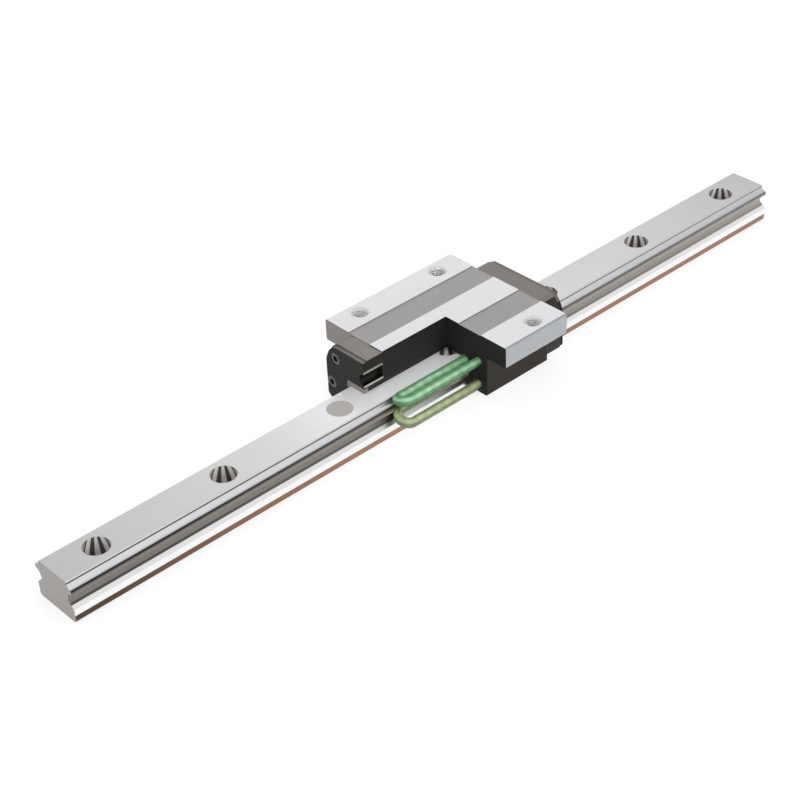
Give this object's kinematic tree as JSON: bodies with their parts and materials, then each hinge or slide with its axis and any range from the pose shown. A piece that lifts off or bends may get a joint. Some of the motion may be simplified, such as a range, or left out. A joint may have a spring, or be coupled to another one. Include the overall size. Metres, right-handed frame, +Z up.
{
  "type": "linear guide",
  "caption": "Profile rail with a flanged ball carriage that slides along it; a quarter of the carriage is cut away to show its caged ball circuits.",
  "frame": {"origin": "middle of the rail's base, half way along the rail", "axes": "+X along the rail, +Y across it towards the uncut side, +Z up from the rail's base to the carriage's top"},
  "size_m": [0.4, 0.07, 0.034],
  "materials": {
    "rail_steel": "ground",
    "block_steel": "ground",
    "plug": "matte",
    "black_resin": "matte",
    "seal_rubber": "matte",
    "green_resin": "gloss",
    "ball_steel": "polished",
    "bright_metal": "plated"
  },
  "bodies": {
    "rail": {"rail": "rail_steel", "rail_hole_plug": "plug"},
    "carriage": {"carriage_block": "block_steel", "front_end_cap": "black_resin", "rear_end_cap": "black_resin", "front_end_seal": "seal_rubber", "rear_end_seal": "seal_rubber", "side_seal_left": "seal_rubber", "side_seal_right": "seal_rubber", "return_guide_front_left": "black_resin", "return_guide_rear_left": "black_resin", "return_guide_rear_right": "black_resin", "front_port_bush": "bright_metal", "rear_port_bush": "bright_metal", "grease_port_plug": "bright_metal", "end_cap_screws": "bright_metal", "upper_retainer": "black_resin", "lower_retainer_left": "black_resin", "lower_retainer_right": "black_resin", "return_sleeve_upper_left": "black_resin", "return_sleeve_lower_left": "black_resin", "return_sleeve_upper_right": "black_resin", "return_sleeve_lower_right": "black_resin", "upper_left_cage": "green_resin", "lower_left_cage": "green_resin", "upper_right_cage": "green_resin", "lower_right_cage": "green_resin", "upper_left_balls": "ball_steel", "lower_left_balls": "ball_steel", "upper_right_balls": "ball_steel", "lower_right_balls": "ball_steel"}
  },
  "joints": [
    {"name": "carriage_slide", "type": "slide", "parent": "rail", "child": "carriage", "axis": [1, 0, 0], "range_m": [-0.1535, 0.1535]}
  ]
}
